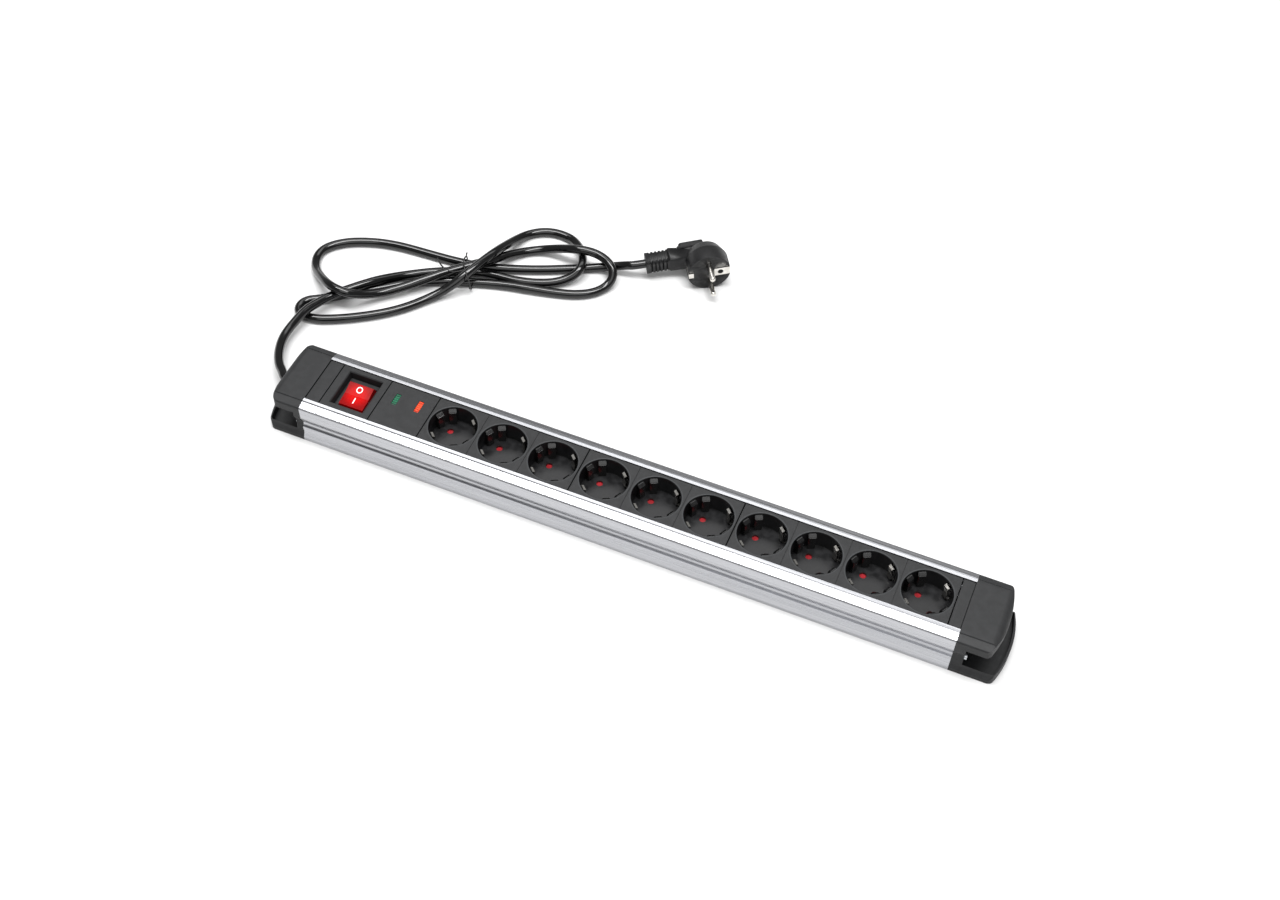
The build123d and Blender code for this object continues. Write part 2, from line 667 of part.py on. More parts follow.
save(plug_body, "plug_body")

with BuildPart() as plug_grip_pad:
    with BuildSketch(plug_plane.offset(-23.95)):
        with Locations((-8.0, 0)):
            RectangleRounded(27.4, 12.8, 3.0)
    extrude(amount=-12.4)
    fillet(plug_grip_pad.edges().group_by(lambda e: (e.center() - plug_face).dot(plug_out))[0], radius=0.8)
save(plug_grip_pad, "plug_grip_pad")

with BuildPart() as plug_pins:
    with BuildSketch(plug_plane.offset(-11.9)):
        with Locations((0, 9.5), (0, -9.5)):
            Circle(2.3)
    extrude(amount=11.9)
    with BuildSketch(plug_plane):
        with Locations((0, 9.5), (0, -9.5)):
            Circle(2.4)
    extrude(amount=plug_pin_length)
    tips = plug_pins.edges().filter_by(GeomType.CIRCLE).sort_by(lambda e: (e.center() - plug_face).dot(plug_out))[-2:]
    fillet(tips, radius=1.6)
save(plug_pins, "plug_pins")

with BuildPart() as plug_earth_contacts:
    with BuildSketch(plug_plane.offset(0.05)):
        with Locations((11.2, 0)):
            RectangleRounded(13.4, 8.4, 0.8)
        with Locations((10.0, 0)):
            Circle(2.5, mode=Mode.SUBTRACT)
        with Locations((-16.0, 0)):
            Rectangle(3.8, 5.4)
    extrude(amount=0.7)
    with BuildSketch(plug_plane.offset(0.75)):
        with Locations((18.2, 0)):
            Rectangle(0.8, 8.4)
        with Locations((-18.2, 0)):
            Rectangle(0.8, 5.4)
    extrude(amount=-13.0)
save(plug_earth_contacts, "plug_earth_contacts")

with BuildPart() as plug_strain_relief:
    boot_plane = Plane(plug_face + plug_out * boot_axis + plug_along * boot_start, x_dir=plug_out, z_dir=plug_along)
    with BuildSketch(boot_plane):
        RectangleRounded(boot_side, boot_side, 2.0)
    extrude(amount=boot_stop - boot_start)
    with BuildSketch(boot_plane.offset(-1)):
        Circle(cord_r - 0.6)
    extrude(amount=2, mode=Mode.SUBTRACT)
    for k in range(5):
        with BuildSketch(boot_plane.offset(4.2 + 3.4 * k)):
            with Locations((boot_side / 2, 0), (-boot_side / 2, 0)):
                Rectangle(4.0, 7.6)
            with Locations((boot_side / 2, boot_side / 2), (boot_side / 2, -boot_side / 2),
                           (-boot_side / 2, boot_side / 2), (-boot_side / 2, -boot_side / 2)):
                Rectangle(4.6, 4.6)
        extrude(amount=1.5, mode=Mode.SUBTRACT)
save(plug_strain_relief, "plug_strain_relief")


# --- the cord: lead from the gland, the tied hank, and the tail to the plug --------------------------------------
def cordRadii(points):
    """As large an arc at each corner as its two runs allow."""
    radii = []
    for before, corner, after in zip(points, points[1:], points[2:]):
        into, out = Vector(corner) - Vector(before), Vector(after) - Vector(corner)
        half_turn = radians(into.get_angle(out)) / 2
        radii.append(0.45 * min(into.length, out.length) / tan(half_turn))
    return radii


def cordTube(points):
    """The cord's round section along a route; adds to the open part."""
    with BuildLine() as route:
        FilletPolyline(*points, radius=cordRadii(points))
    with BuildSketch(Plane(route.line @ 0, z_dir=route.line % 0)) as section:
        Circle(cord_r)
    sweep(sections=section.sketch, path=route.line)
    return sum(edge.length for edge in route.edges())


boot_end = boot_plane.origin
lead_points = [
    (sleeve_end, 0, gland_z), (-300, 0, 20.9), (-314, 5.1, 20.2), (-325.5, 14.8, 17.8), (-335.5, 28.2, 14),
    (-343.3, 44.5, 10.8), (-348.6, 62, 8.8), (-348.6, 80, 8.4),
]
tail_middle = boot_end - plug_along * 11.0
tail_points = [(tail_middle.X - 9.8, tail_middle.Y - 5.0, tail_middle.Z), tuple(tail_middle), tuple(boot_end)]

with BuildPart() as power_cord:
    lead_length = cordTube(lead_points)
save(power_cord, "power_cord")
print("lead radii", [round(r) for r in cordRadii(lead_points)], "length", round(lead_length, 1),
      "volume over section", round(power_cord.part.volume / (pi * cord_r ** 2), 1))

with BuildPart() as cord_tail:
    tail_length = cordTube(tail_points)
save(cord_tail, "cord_tail")
print("tail radii", [round(r) for r in cordRadii(tail_points)], "length", round(tail_length, 1))

tail_start = Vector(*tail_points[0])
tail_side = Vector(-5.0, 9.8, 0).normalized() * 7.0
hank_outline = [
    (-356, 80), (-341, 80), (-322, 87), (-298, 100), (-264, 130), (-232, 171), (-205, 186), (-160, 190), (-126, 202),
    (-107, 226), tuple(tail_start - tail_side)[:2], tuple(tail_start + tail_side)[:2], (-146, 264), (-172, 273.5),
    (-190, 273.5), (-204, 266), (-219, 232), (-232, 206.5), (-314, 205.5), (-349, 196), (-371, 180), (-375.5, 162),
    (-368, 143), (-352, 128), (-360, 108), (-360, 92),
]
hank_eyes = [
    [(-345, 141), (-353, 150), (-357, 158), (-353, 167), (-343, 174), (-325, 181), (-298, 187), (-275, 187),
     (-289, 174), (-300, 161), (-309, 148), (-322, 138)],
    [(-330, 96), (-316, 102), (-300, 110), (-285, 121), (-272, 134), (-263, 146), (-268, 150), (-277, 141),
     (-286, 130), (-294, 119), (-306, 110), (-320, 106), (-332, 105)],
    [(-195, 223), (-186, 231), (-176, 237), (-160, 237), (-152, 236), (-166, 231), (-180, 225), (-190, 220)],
    [(-135, 223), (-134, 232), (-122, 238), (-120, 230), (-124, 221), (-133, 214), (-143, 210)],
]
with BuildPart() as cord_hank:
    with BuildSketch():
        with BuildLine():
            Polyline(*hank_outline, close=True)
        make_face()
        for eye in hank_eyes:
            with BuildLine():
                Polyline(*eye, close=True)
            make_face(mode=Mode.SUBTRACT)
    extrude(amount=16.0)
    with BuildSketch(Plane.XY.offset(16.0)):
        with Locations((-228, 192)):
            Rectangle(26, 26)
    extrude(amount=6.5)
save(cord_hank, "cord_hank")

with BuildPart() as cord_tie:
    with BuildSketch(Plane.YZ.offset(-233.6)):
        with Locations((187.75, 11.9)):
            Rectangle(40.5, 23.8)
        with Locations((187.75, 11.0)):
            Rectangle(39.1, 24.2, mode=Mode.SUBTRACT)
    extrude(amount=1.2)
save(cord_tie, "cord_tie")
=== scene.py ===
import json
from math import cos, pi, radians, sin

import bpy
import bmesh
from mathutils import Matrix, Vector
from mathutils.bvhtree import BVHTree


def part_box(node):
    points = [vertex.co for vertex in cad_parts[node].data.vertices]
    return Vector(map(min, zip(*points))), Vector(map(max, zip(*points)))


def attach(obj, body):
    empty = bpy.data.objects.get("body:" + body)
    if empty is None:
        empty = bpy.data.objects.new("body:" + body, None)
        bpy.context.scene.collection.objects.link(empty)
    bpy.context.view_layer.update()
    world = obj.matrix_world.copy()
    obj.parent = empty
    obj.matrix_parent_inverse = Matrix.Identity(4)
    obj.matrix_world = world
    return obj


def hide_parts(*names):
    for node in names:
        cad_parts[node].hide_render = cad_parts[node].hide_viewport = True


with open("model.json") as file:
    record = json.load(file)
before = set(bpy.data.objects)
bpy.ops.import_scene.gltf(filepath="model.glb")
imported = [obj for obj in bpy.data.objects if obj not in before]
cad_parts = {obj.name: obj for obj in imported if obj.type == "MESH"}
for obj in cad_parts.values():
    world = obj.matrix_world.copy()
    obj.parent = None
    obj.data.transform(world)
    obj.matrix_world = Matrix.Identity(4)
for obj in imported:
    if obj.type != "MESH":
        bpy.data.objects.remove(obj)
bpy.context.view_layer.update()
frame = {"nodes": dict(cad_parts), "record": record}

scene = bpy.context.scene
nodes = frame["nodes"]
mm = 0.001

cameraSet = {
    "place": (0.28219, -0.73510, 1.09520),
    "turn": 0.3584,      # radians round from the front
    "height": 0.9062,    # radians up from the floor
    "roll": 0.0437,
    "lens": 47.33, "sensor": 36, "clip": (0.05, 20),
}


def makeCamera(sizes):
    turn, height, roll = sizes["turn"], sizes["height"], sizes["roll"]
    back = Vector((sin(turn) * cos(height), -cos(turn) * cos(height), sin(height)))
    right = Vector((cos(turn), sin(turn), 0))
    up = back.cross(right)
    across = right * cos(roll) + up * sin(roll)
    upward = up * cos(roll) - right * sin(roll)
    data = bpy.data.cameras.new("camera")
    data.lens = sizes["lens"]
    data.sensor_width = sizes["sensor"]
    data.clip_start, data.clip_end = sizes["clip"]
    camera = bpy.data.objects.new("camera", data)
    scene.collection.objects.link(camera)
    facing = Matrix((across, upward, back)).transposed().to_4x4()
    camera.matrix_world = Matrix.Translation(Vector(sizes["place"])) @ facing
    scene.camera = camera


makeCamera(cameraSet)
print("camera placed")

lightSet = {
    "world": (1.0, 1.0, 1.0), "worldStrength": 0.30,
    "overhead": dict(place=(-0.05, 0.05, 3.0), aim=(-0.05, 0.05, 0), size=(3.0, 0.9), power=135),
    "front": dict(place=(0.42, -1.09, 1.62), aim=(0, 0, 0.02), size=(1.7, 1.7), power=14),
    "back": dict(place=(-0.4, 1.15, 1.62), aim=(0, 0, 0.04), size=(2.0, 0.7), power=11),
}


def makeLight(name, sizes):
    data = bpy.data.lights.new(name, "AREA")
    data.shape = "RECTANGLE"
    data.size, data.size_y = sizes["size"]
    data.energy = sizes["power"]
    lamp = bpy.data.objects.new(name, data)
    scene.collection.objects.link(lamp)
    lamp.location = sizes["place"]
    towards = Vector(sizes["aim"]) - Vector(sizes["place"])
    lamp.rotation_euler = towards.to_track_quat("-Z", "Y").to_euler()


def makeRoom(sizes):
    world = bpy.data.worlds.new("studio")
    scene.world = world
    world.use_nodes = True
    sky = world.node_tree.nodes["Background"]
    sky.inputs["Color"].default_value = (*sizes["world"], 1)
    sky.inputs["Strength"].default_value = sizes["worldStrength"]
    for name in ("overhead", "front", "back"):
        makeLight(name, sizes[name])
    scene.view_settings.view_transform = "Standard"


makeRoom(lightSet)
print("lights placed")


class Value:
    # one number or colour on its way through a material, so that sums can be written as sums
    def __init__(self, surface, socket):
        self.surface = surface
        self.socket = socket

    def math(self, operation, *others):
        feeds = dict(enumerate((self, *others)))
        return self.surface.node("ShaderNodeMath", {"operation": operation}, feeds)

    def __add__(self, other):
        return self.math("ADD", other)

    __radd__ = __add__

    def __mul__(self, other):
        return self.math("MULTIPLY", other)

    __rmul__ = __mul__

    def __sub__(self, other):
        return self.math("SUBTRACT", other)

    def __rsub__(self, other):
        return self.surface.node("ShaderNodeMath", {"operation": "SUBTRACT"}, {0: other, 1: self})


class Surface:
    # a material with its Principled shader and the few nodes it needs
    def __init__(self, name):
        self.material = bpy.data.materials.new(name + "_finish")
        self.material.use_nodes = True
        self.tree = self.material.node_tree
        self.tree.nodes.clear()
        self.shader = self.tree.nodes.new("ShaderNodeBsdfPrincipled")
        output = self.tree.nodes.new("ShaderNodeOutputMaterial")
        self.tree.links.new(self.shader.outputs[0], output.inputs["Surface"])
        self.place = self.node("ShaderNodeTexCoord", output="Object")

    def node(self, kind, settings=None, feeds=None, output=0):
        made = self.tree.nodes.new(kind)
        for key, value in (settings or {}).items():
            setattr(made, key, value)
        for key, value in (feeds or {}).items():
            self.feed(made.inputs[key], value)
        return Value(self, made.outputs[output])

    def feed(self, socket, value):
        if isinstance(value, Value):
            self.tree.links.new(value.socket, socket)
        elif isinstance(value, tuple) and len(value) == 3 and socket.type == "RGBA":
            socket.default_value = (*value, 1)
        else:
            socket.default_value = value

    def set(self, **feeds):
        for key, value in feeds.items():
            self.feed(self.shader.inputs[key.replace("_", " ")], value)

    def axis(self, letter):
        return self.node("ShaderNodeSeparateXYZ", feeds={0: self.place}, output="XYZ".index(letter))

    def noise(self, scale, detail=2, stretch=(1, 1, 1), roughness=0.5):
        spread = self.node("ShaderNodeMapping", feeds={"Vector": self.place, "Scale": stretch})
        feeds = {"Vector": spread, "Scale": scale, "Detail": detail, "Roughness": roughness}
        return self.node("ShaderNodeTexNoise", feeds=feeds)

    def ease(self, value, low, high, start=0, end=1):
        feeds = {"Value": value, "From Min": low, "From Max": high, "To Min": start, "To Max": end}
        return self.node("ShaderNodeMapRange", {"interpolation_type": "SMOOTHSTEP"}, feeds)

    def mix(self, factor, first, second):
        return self.node("ShaderNodeMix", {"data_type": "RGBA"}, {0: factor, 6: first, 7: second}, output=2)

    def bump(self, height, strength, distance):
        feeds = {"Height": height, "Strength": strength, "Distance": distance}
        return self.node("ShaderNodeBump", feeds=feeds)


evenBand = (0.3, 0.7)    # the part of a noise that is stretched over the whole range

# tints drift over a surface; drift and grain are how many to a metre
finishes = {
    "black_cord": dict(tints=((0.001, 0.001, 0.0011), (0.0025, 0.0025, 0.0027)), drift=60, rough=(0.10, 0.16),
                       grain=900, bump=(0.04, 0.0002), shine=0.5),
    "black_soft_pvc": dict(tints=((0.004, 0.004, 0.0045), (0.008, 0.008, 0.0085)), drift=80,
                           rough=(0.38, 0.5), grain=2600, bump=(0.18, 0.00025), shine=0.36),
    "red_shutter": dict(tints=((0.20, 0.006, 0.010), (0.30, 0.012, 0.018)), drift=120, rough=(0.22, 0.34),
                        grain=1500, bump=(0.08, 0.0002), coat=0.3, coatRough=0.15),
    "nickel_brass": dict(tints=((0.62, 0.60, 0.56), (0.78, 0.76, 0.72)), drift=180, rough=(0.14, 0.26),
                         grain=2400, bump=(0.10, 0.0001), metal=1),
    "bare_brass": dict(tints=((0.70, 0.46, 0.18), (0.80, 0.57, 0.27)), drift=120, rough=(0.22, 0.36),
                       grain=1800, bump=(0.12, 0.0001), metal=1),
    "zinc_steel": dict(tints=((0.50, 0.52, 0.54), (0.68, 0.70, 0.72)), drift=420, rough=(0.26, 0.42),
                       grain=1600, bump=(0.14, 0.0001), metal=1),
    "spring_steel": dict(tints=((0.36, 0.37, 0.38), (0.52, 0.53, 0.54)), drift=300, rough=(0.2, 0.34),
                         grain=2400, bump=(0.10, 0.0001), metal=1),
    # black_rib is darker than the deck's own black: painted shade on the guide ribs down in the wells
    "black_rib": dict(tints=((0.002, 0.002, 0.0022), (0.004, 0.004, 0.0043)), drift=160, rough=(0.2, 0.3),
                      grain=1900, bump=(0.12, 0.0002)),
    "grey_nylon": dict(tints=((0.20, 0.20, 0.205), (0.27, 0.27, 0.275)), drift=70, rough=(0.46, 0.58),
                       grain=1700, bump=(0.16, 0.0003)),
    "green_board": dict(tints=((0.008, 0.13, 0.05), (0.012, 0.19, 0.075)), drift=240, rough=(0.26, 0.38),
                        grain=1100, bump=(0.14, 0.0002), coat=0.4, coatRough=0.2),
    "blue_varistor": dict(tints=((0.015, 0.09, 0.38), (0.03, 0.14, 0.5)), drift=220, rough=(0.2, 0.34),
                          grain=800, bump=(0.22, 0.0004), coat=0.4, coatRough=0.15),
    "brown_wire": dict(tints=((0.13, 0.045, 0.02), (0.19, 0.07, 0.03)), drift=150, rough=(0.32, 0.42),
                       grain=1500, bump=(0.10, 0.0002)),
    "blue_wire": dict(tints=((0.015, 0.10, 0.42), (0.025, 0.14, 0.52)), drift=150, rough=(0.32, 0.42),
                      grain=1500, bump=(0.10, 0.0002)),
    "white_print": dict(tints=((0.80, 0.78, 0.76), (0.92, 0.90, 0.88)), drift=900, rough=(0.40, 0.52),
                        grain=4000, bump=(0.12, 0.00005)),
    "tie_wire": dict(tints=((0.008, 0.008, 0.008), (0.018, 0.018, 0.018)), drift=300, rough=(0.36, 0.5),
                     grain=2600, bump=(0.16, 0.0001)),
}


def makeFinish(name, sizes):
    surface = Surface(name)
    drift = surface.ease(surface.noise(sizes["drift"], 3), *evenBand)
    worn = surface.noise(sizes["grain"] / 4, 3)
    grain = surface.noise(sizes["grain"], 3)
    surface.set(Base_Color=surface.mix(drift, *sizes["tints"]),
                Roughness=surface.ease(worn, *evenBand, *sizes["rough"]),
                Metallic=float(sizes.get("metal", 0)),
                Specular_IOR_Level=float(sizes.get("shine", 0.5)),
                Coat_Weight=float(sizes.get("coat", 0)),
                Coat_Roughness=float(sizes.get("coatRough", 0.1)),
                Normal=surface.bump(grain, *sizes["bump"]))
    return surface


deckSet = {
    "firstCentre": -0.154, "pitch": 0.044, "wellRadius": 0.01975, "deckTop": 0.0417,
    "deck": ((0.010, 0.0103, 0.011), (0.018, 0.0185, 0.0197)),
    # cup: a darker tint down in the wells that is painted shade; the seams between sockets take it too, as
    # dark joints
    "wellShadeAndSeam": ((0.005, 0.005, 0.0055), (0.010, 0.010, 0.011)),
    # rim is the colour of a painted highlight round each well's mouth, rimShare how strongly it is painted
    # in, lip the ring's width
    "rim": (0.04, 0.042, 0.045), "rimShare": 0.55, "lip": 0.0011, "lipBlur": 0.0002,
    "runStart": (-0.1765, -0.1755), "runEnd": (0.2645, 0.2635),    # where the sockets begin and end
    "seam": (0.0005, 0.0002),          # inwards from the edge of a socket's cell
    "wellEdge": (0.0007, 0.0002),      # outwards from the well's wall
    "polishDepth": (0.0004, 0.0014),   # down from the top of the deck
    "topBand": (0.0010, 0.0004),
    "cloud": 160, "cloudShare": 0.55, "spark": 1900, "sparkRough": 0.6, "sparkBand": (0.42, 0.62),
    "mattBand": (0.35, 0.65), "matt": (0.50, 0.64), "gloss": (0.28, 0.38),
    "shine": 0.34, "bump": (0.55, 0.00022),
}


def makeMouldedBlack(sizes):
    # spark texture on what faces out, polished down in the wells with a darker tint there that is painted
    # shade, and a lighter ring round each well's rim that is a painted highlight
    surface = Surface("black_abs")
    across, along, up = surface.axis("X"), surface.axis("Y"), surface.axis("Z")
    half, radius, top = sizes["pitch"] / 2, sizes["wellRadius"], sizes["deckTop"]
    blur, outerRadius = sizes["lipBlur"], sizes["wellRadius"] + sizes["lip"]
    cell = (across - (sizes["firstCentre"] - half)).math("WRAP", sizes["pitch"], 0.0) - half
    reach = (cell * cell + along * along).math("SQRT")
    sockets = surface.ease(across, *sizes["runStart"]) * surface.ease(across, *sizes["runEnd"])
    seam = surface.ease(cell.math("ABSOLUTE"), *[half - gap for gap in sizes["seam"]]) * sockets
    inWell = surface.ease(reach, *[radius + gap for gap in sizes["wellEdge"]]) * sockets
    # down in the wells: polished, with lower roughness and no spark bump, and given the darker tint as
    # painted shade
    polishedAndShaded = inWell * surface.ease(up, *[top - drop for drop in sizes["polishDepth"]])
    onTop = surface.ease(up, *[top - drop for drop in sizes["topBand"]])
    inner = surface.ease(reach, radius - blur, radius + blur)
    outer = surface.ease(reach, outerRadius + blur, outerRadius - blur)
    # the lip mask: a thin ring at the top of each well where the painted highlight goes
    lip = inner * outer * onTop * sockets
    cloud = surface.ease(surface.noise(sizes["cloud"], 4), *evenBand)
    spark = surface.noise(sizes["spark"], 3, roughness=sizes["sparkRough"])
    speck = surface.ease(spark, *sizes["sparkBand"])
    share = sizes["cloudShare"]
    deck = surface.mix(cloud * share + speck * (1 - share), *sizes["deck"])
    # painted highlight: the deck lightened towards the rim colour round each well's mouth
    rimmed = surface.mix(lip * sizes["rimShare"], deck, sizes["rim"])
    # painted shade: the darker tint for the wells, also used for the dark seams between sockets
    wellShadeAndSeam = surface.mix(cloud, *sizes["wellShadeAndSeam"])
    matt = surface.ease(spark, *sizes["mattBand"], *sizes["matt"])
    gloss = surface.ease(cloud, 0, 1, *sizes["gloss"])
    surface.set(Base_Color=surface.mix(polishedAndShaded + seam * (1 - polishedAndShaded), rimmed, wellShadeAndSeam),
                Roughness=matt * (1 - polishedAndShaded) + gloss * polishedAndShaded,
                Specular_IOR_Level=sizes["shine"],
                Normal=surface.bump(spark * (1 - polishedAndShaded), *sizes["bump"]))
    return surface


channelSet = {
    "tints": ((0.40, 0.405, 0.425), (0.53, 0.535, 0.555)), "rough": (0.24, 0.38), "roughBand": (0.35, 0.65),
    "lines": 900, "stretch": (0.004, 1, 1), "lineRough": 0.7, "etch": 2600,
    "etchInRough": 0.4, "etchInRise": 0.3, "bump": (0.12, 0.0001),
}


def makeAnodised(sizes):
    # die lines run the length of the channel, with a satin etch over them
    surface = Surface("anodised_aluminium")
    lines = surface.noise(sizes["lines"], 4, sizes["stretch"], sizes["lineRough"])
    etch = surface.noise(sizes["etch"], 2)
    satin = lines * (1 - sizes["etchInRough"]) + etch * sizes["etchInRough"]
    rise = lines * (1 - sizes["etchInRise"]) + etch * sizes["etchInRise"]
    surface.set(Base_Color=surface.mix(surface.ease(lines, *evenBand), *sizes["tints"]),
                Metallic=1.0,
                Roughness=surface.ease(satin, *sizes["roughBand"], *sizes["rough"]),
                Normal=surface.bump(rise, *sizes["bump"]))
    return surface


rockerSet = {
    "edge": (0.20, 0.0005, 0.001), "heart": (0.40, 0.001, 0.001), "reach": (0.013, 0.004),
    "glowEdge": (0.06, 0.0, 0.0), "glowHeart": (1.0, 0.006, 0.004), "glow": 0.09,
    "grain": 1400, "rough": (0.24, 0.34), "shine": 0.06, "bump": (0.06, 0.0002),
}


def makeLitRed(sizes, centre):
    # translucent red, brighter where the little lamp sits behind it
    surface = Surface("red_rocker")
    across, along = surface.axis("X") - centre.x, surface.axis("Y") - centre.y
    near = surface.ease((across * across + along * along).math("SQRT"), *sizes["reach"])
    grain = surface.noise(sizes["grain"], 3)
    surface.set(Base_Color=surface.mix(near, sizes["edge"], sizes["heart"]),
                Emission_Color=surface.mix(near, sizes["glowEdge"], sizes["glowHeart"]),
                Emission_Strength=sizes["glow"],
                Roughness=surface.ease(grain, *evenBand, *sizes["rough"]),
                Specular_IOR_Level=sizes["shine"],
                Normal=surface.bump(grain, *sizes["bump"]))
    return surface


lensSet = {
    "green_lens": dict(deep=(0.0, 0.016, 0.008), bright=(0.001, 0.12, 0.055), glow=0.04),
    "red_lens": dict(deep=(0.22, 0.008, 0.001), bright=(0.72, 0.06, 0.010), glow=0.16),
    "ribs": 2900, "ribsInRise": 0.7, "core": (0.0055, 0.0005), "coreShare": 0.35,
    "grain": 1500, "rough": (0.12, 0.22), "shine": 0.3, "bump": (0.4, 0.0003),
}


def makeLens(name, sizes, centre):
    # moulded ribs across the lens and a lighter core over its lamp
    surface = Surface(name)
    own = sizes[name]
    along = surface.axis("Y") - centre.y
    ribs = (along * sizes["ribs"]).math("SINE") * 0.5 + 0.5
    core = surface.ease((along * along).math("SQRT"), *sizes["core"])
    grain = surface.noise(sizes["grain"], 2)
    lit = core * sizes["coreShare"] + ribs * (1 - sizes["coreShare"])
    tint = surface.mix(lit, own["deep"], own["bright"])
    rise = ribs * sizes["ribsInRise"] + grain * (1 - sizes["ribsInRise"])
    surface.set(Base_Color=tint, Emission_Color=tint, Emission_Strength=own["glow"],
                Roughness=surface.ease(grain, *evenBand, *sizes["rough"]),
                Specular_IOR_Level=sizes["shine"],
                Normal=surface.bump(rise, *sizes["bump"]))
    return surface


glassSet = {
    "tints": ((0.80, 0.83, 0.84), (0.95, 0.96, 0.96)), "swirl": 500, "rough": (0.03, 0.09),
    "clear": 0.85, "bend": 1.45, "bump": (0.08, 0.0003),
}


def makeGlass(sizes):
    surface = Surface("clear_glass")
    swirl = surface.noise(sizes["swirl"], 2)
    surface.set(Base_Color=surface.mix(swirl, *sizes["tints"]),
                Roughness=surface.ease(swirl, *evenBand, *sizes["rough"]),
                Transmission_Weight=sizes["clear"], IOR=sizes["bend"],
                Normal=surface.bump(swirl, *sizes["bump"]))
    return surface


earthWireSet = {
    "tints": ((0.02, 0.26, 0.04), (0.75, 0.56, 0.02)), "wind": 900, "edge": (-0.15, 0.15),
    "grain": 1500, "rough": (0.32, 0.42), "bump": (0.1, 0.0002),
}


def makeEarthWire(sizes):
    # green and yellow bands wind round the earth wire
    surface = Surface("earth_wire")
    pace = sizes["wind"]
    wind = surface.axis("X") * pace + surface.axis("Y") * pace + surface.axis("Z") * pace
    band = surface.ease(wind.math("SINE"), *sizes["edge"])
    grain = surface.noise(sizes["grain"], 2)
    surface.set(Base_Color=surface.mix(band, *sizes["tints"]),
                Roughness=surface.ease(grain, *evenBand, *sizes["rough"]),
                Normal=surface.bump(grain, *sizes["bump"]))
    return surface


def middle(node):
    low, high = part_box(node)
    return (low + high) / 2


surfaces = {name: makeFinish(name, sizes) for name, sizes in finishes.items()}
surfaces["black_abs"] = makeMouldedBlack(deckSet)
surfaces["anodised_aluminium"] = makeAnodised(channelSet)
surfaces["red_rocker"] = makeLitRed(rockerSet, middle("switch_rocker"))
for lens in ("green_lens", "red_lens"):
    surfaces[lens] = makeLens(lens, lensSet, middle(lens))
surfaces["clear_glass"] = makeGlass(glassSet)
surfaces["earth_wire"] = makeEarthWire(earthWireSet)

slotOf = {row["node"]: row["material_slot"] for row in frame["record"]["subparts"]}
for name, node in nodes.items():
    for place in range(len(node.data.materials)):
        node.data.materials[place] = surfaces[slotOf[name]].material
print("finishes on", len(nodes), "nodes")

floorSet = {
    "half": 6, "grain": 300, "tints": ((0.66, 0.66, 0.66), (0.69, 0.69, 0.69)), "rough": 0.9,
    "bump": (0.02, 0.0005),
}


def makeFloor(sizes):
    surface = Surface("floor")
    paper = surface.noise(sizes["grain"], 3)
    surface.set(Base_Color=surface.mix(paper, *sizes["tints"]), Roughness=sizes["rough"],
                Normal=surface.bump(paper, *sizes["bump"]))
    half = sizes["half"]
    corners = [(-half, -half, 0), (half, -half, 0), (half, half, 0), (-half, half, 0)]
    mesh = bpy.data.meshes.new("floor")
    mesh.from_pydata(corners, [], [(0, 1, 2, 3)])
    mesh.materials.append(surface.material)
    floor = bpy.data.objects.new("floor", mesh)
    scene.collection.objects.link(floor)


makeFloor(floorSet)
print("floor laid")

# the cord in millimetres: its lead, the tied figure of eight, then the tail to the plug
leadPoints = [(-287, 0, 20.9), (-300, 0, 20.9), (-314, 5.1, 20.2)]
turnToBack = [
    (-319.7, 11.4, 18.2), (-327, 18.3, 16.4), (-333, 26.5, 14.6), (-337.6, 35.2, 13), (-341.1, 44.2, 11.8),
    (-343.2, 53.4, 11), (-343.4, 62.2, 10.8), (-342.5, 71.1, 11.4), (-341.3, 79.6, 12),
]
leadOverHank = [    # over the lower left loop's end, then down beside it to the tie
    (-339.3, 87.1, 12.8), (-335.9, 94.6, 12.8), (-331.4, 104.1, 12.3), (-325.8, 113.1, 12.3),
    (-318.8, 121.8, 12.3), (-309.7, 132.5, 12.3), (-300.9, 143.5, 11), (-292.6, 155.3, 7),
    (-282.3, 166.1, 4.2), (-269.4, 174.9, 4), (-259.1, 180.7, 4), (-246.9, 186.3, 4), (-234.5, 191.2, 4),
    (-223.8, 194.7, 4),
]
innerRightLoop = [    # its far side comes back to the tie on top of everything
    (-212.3, 196.5, 4), (-197.9, 197.3, 4), (-184.3, 199.8, 4), (-171.6, 204.1, 4), (-160.5, 209.2, 4.5),
    (-152.1, 214.9, 6), (-145.6, 220.7, 9), (-142.5, 226.8, 12.2), (-143.5, 234.8, 13), (-148.2, 244.9, 11),
    (-156.5, 257, 7), (-166.6, 265.8, 4), (-176.9, 267.7, 4), (-187.8, 267, 4), (-198.4, 262.6, 4),
    (-208.3, 254.1, 4), (-213.2, 238.2, 9), (-215.3, 223.4, 15), (-217.3, 208.5, 20.3), (-221.4, 196.6, 20.5),
    (-225.8, 185.3, 19.5), (-230.5, 174.6, 17.5), (-237, 165, 12.5), (-245.3, 156.1, 7),
]
lowerLeftLoop = [
    (-254.6, 145.9, 4), (-266.3, 130.4, 4), (-279.3, 117.6, 4), (-293.3, 107, 4), (-306.9, 98.1, 4),
    (-320.2, 90.9, 4), (-331.5, 86, 4), (-343.4, 84.6, 4), (-350.8, 88.4, 4), (-352.8, 96, 4),
    (-349, 103.2, 4), (-341, 107.6, 4), (-330.3, 115.8, 4), (-317.6, 126.9, 4), (-305.7, 134.8, 4),
    (-295.1, 142.9, 4), (-284, 152.5, 4), (-271.1, 161.2, 4), (-258.3, 167.9, 4), (-245.7, 173.8, 4),
]
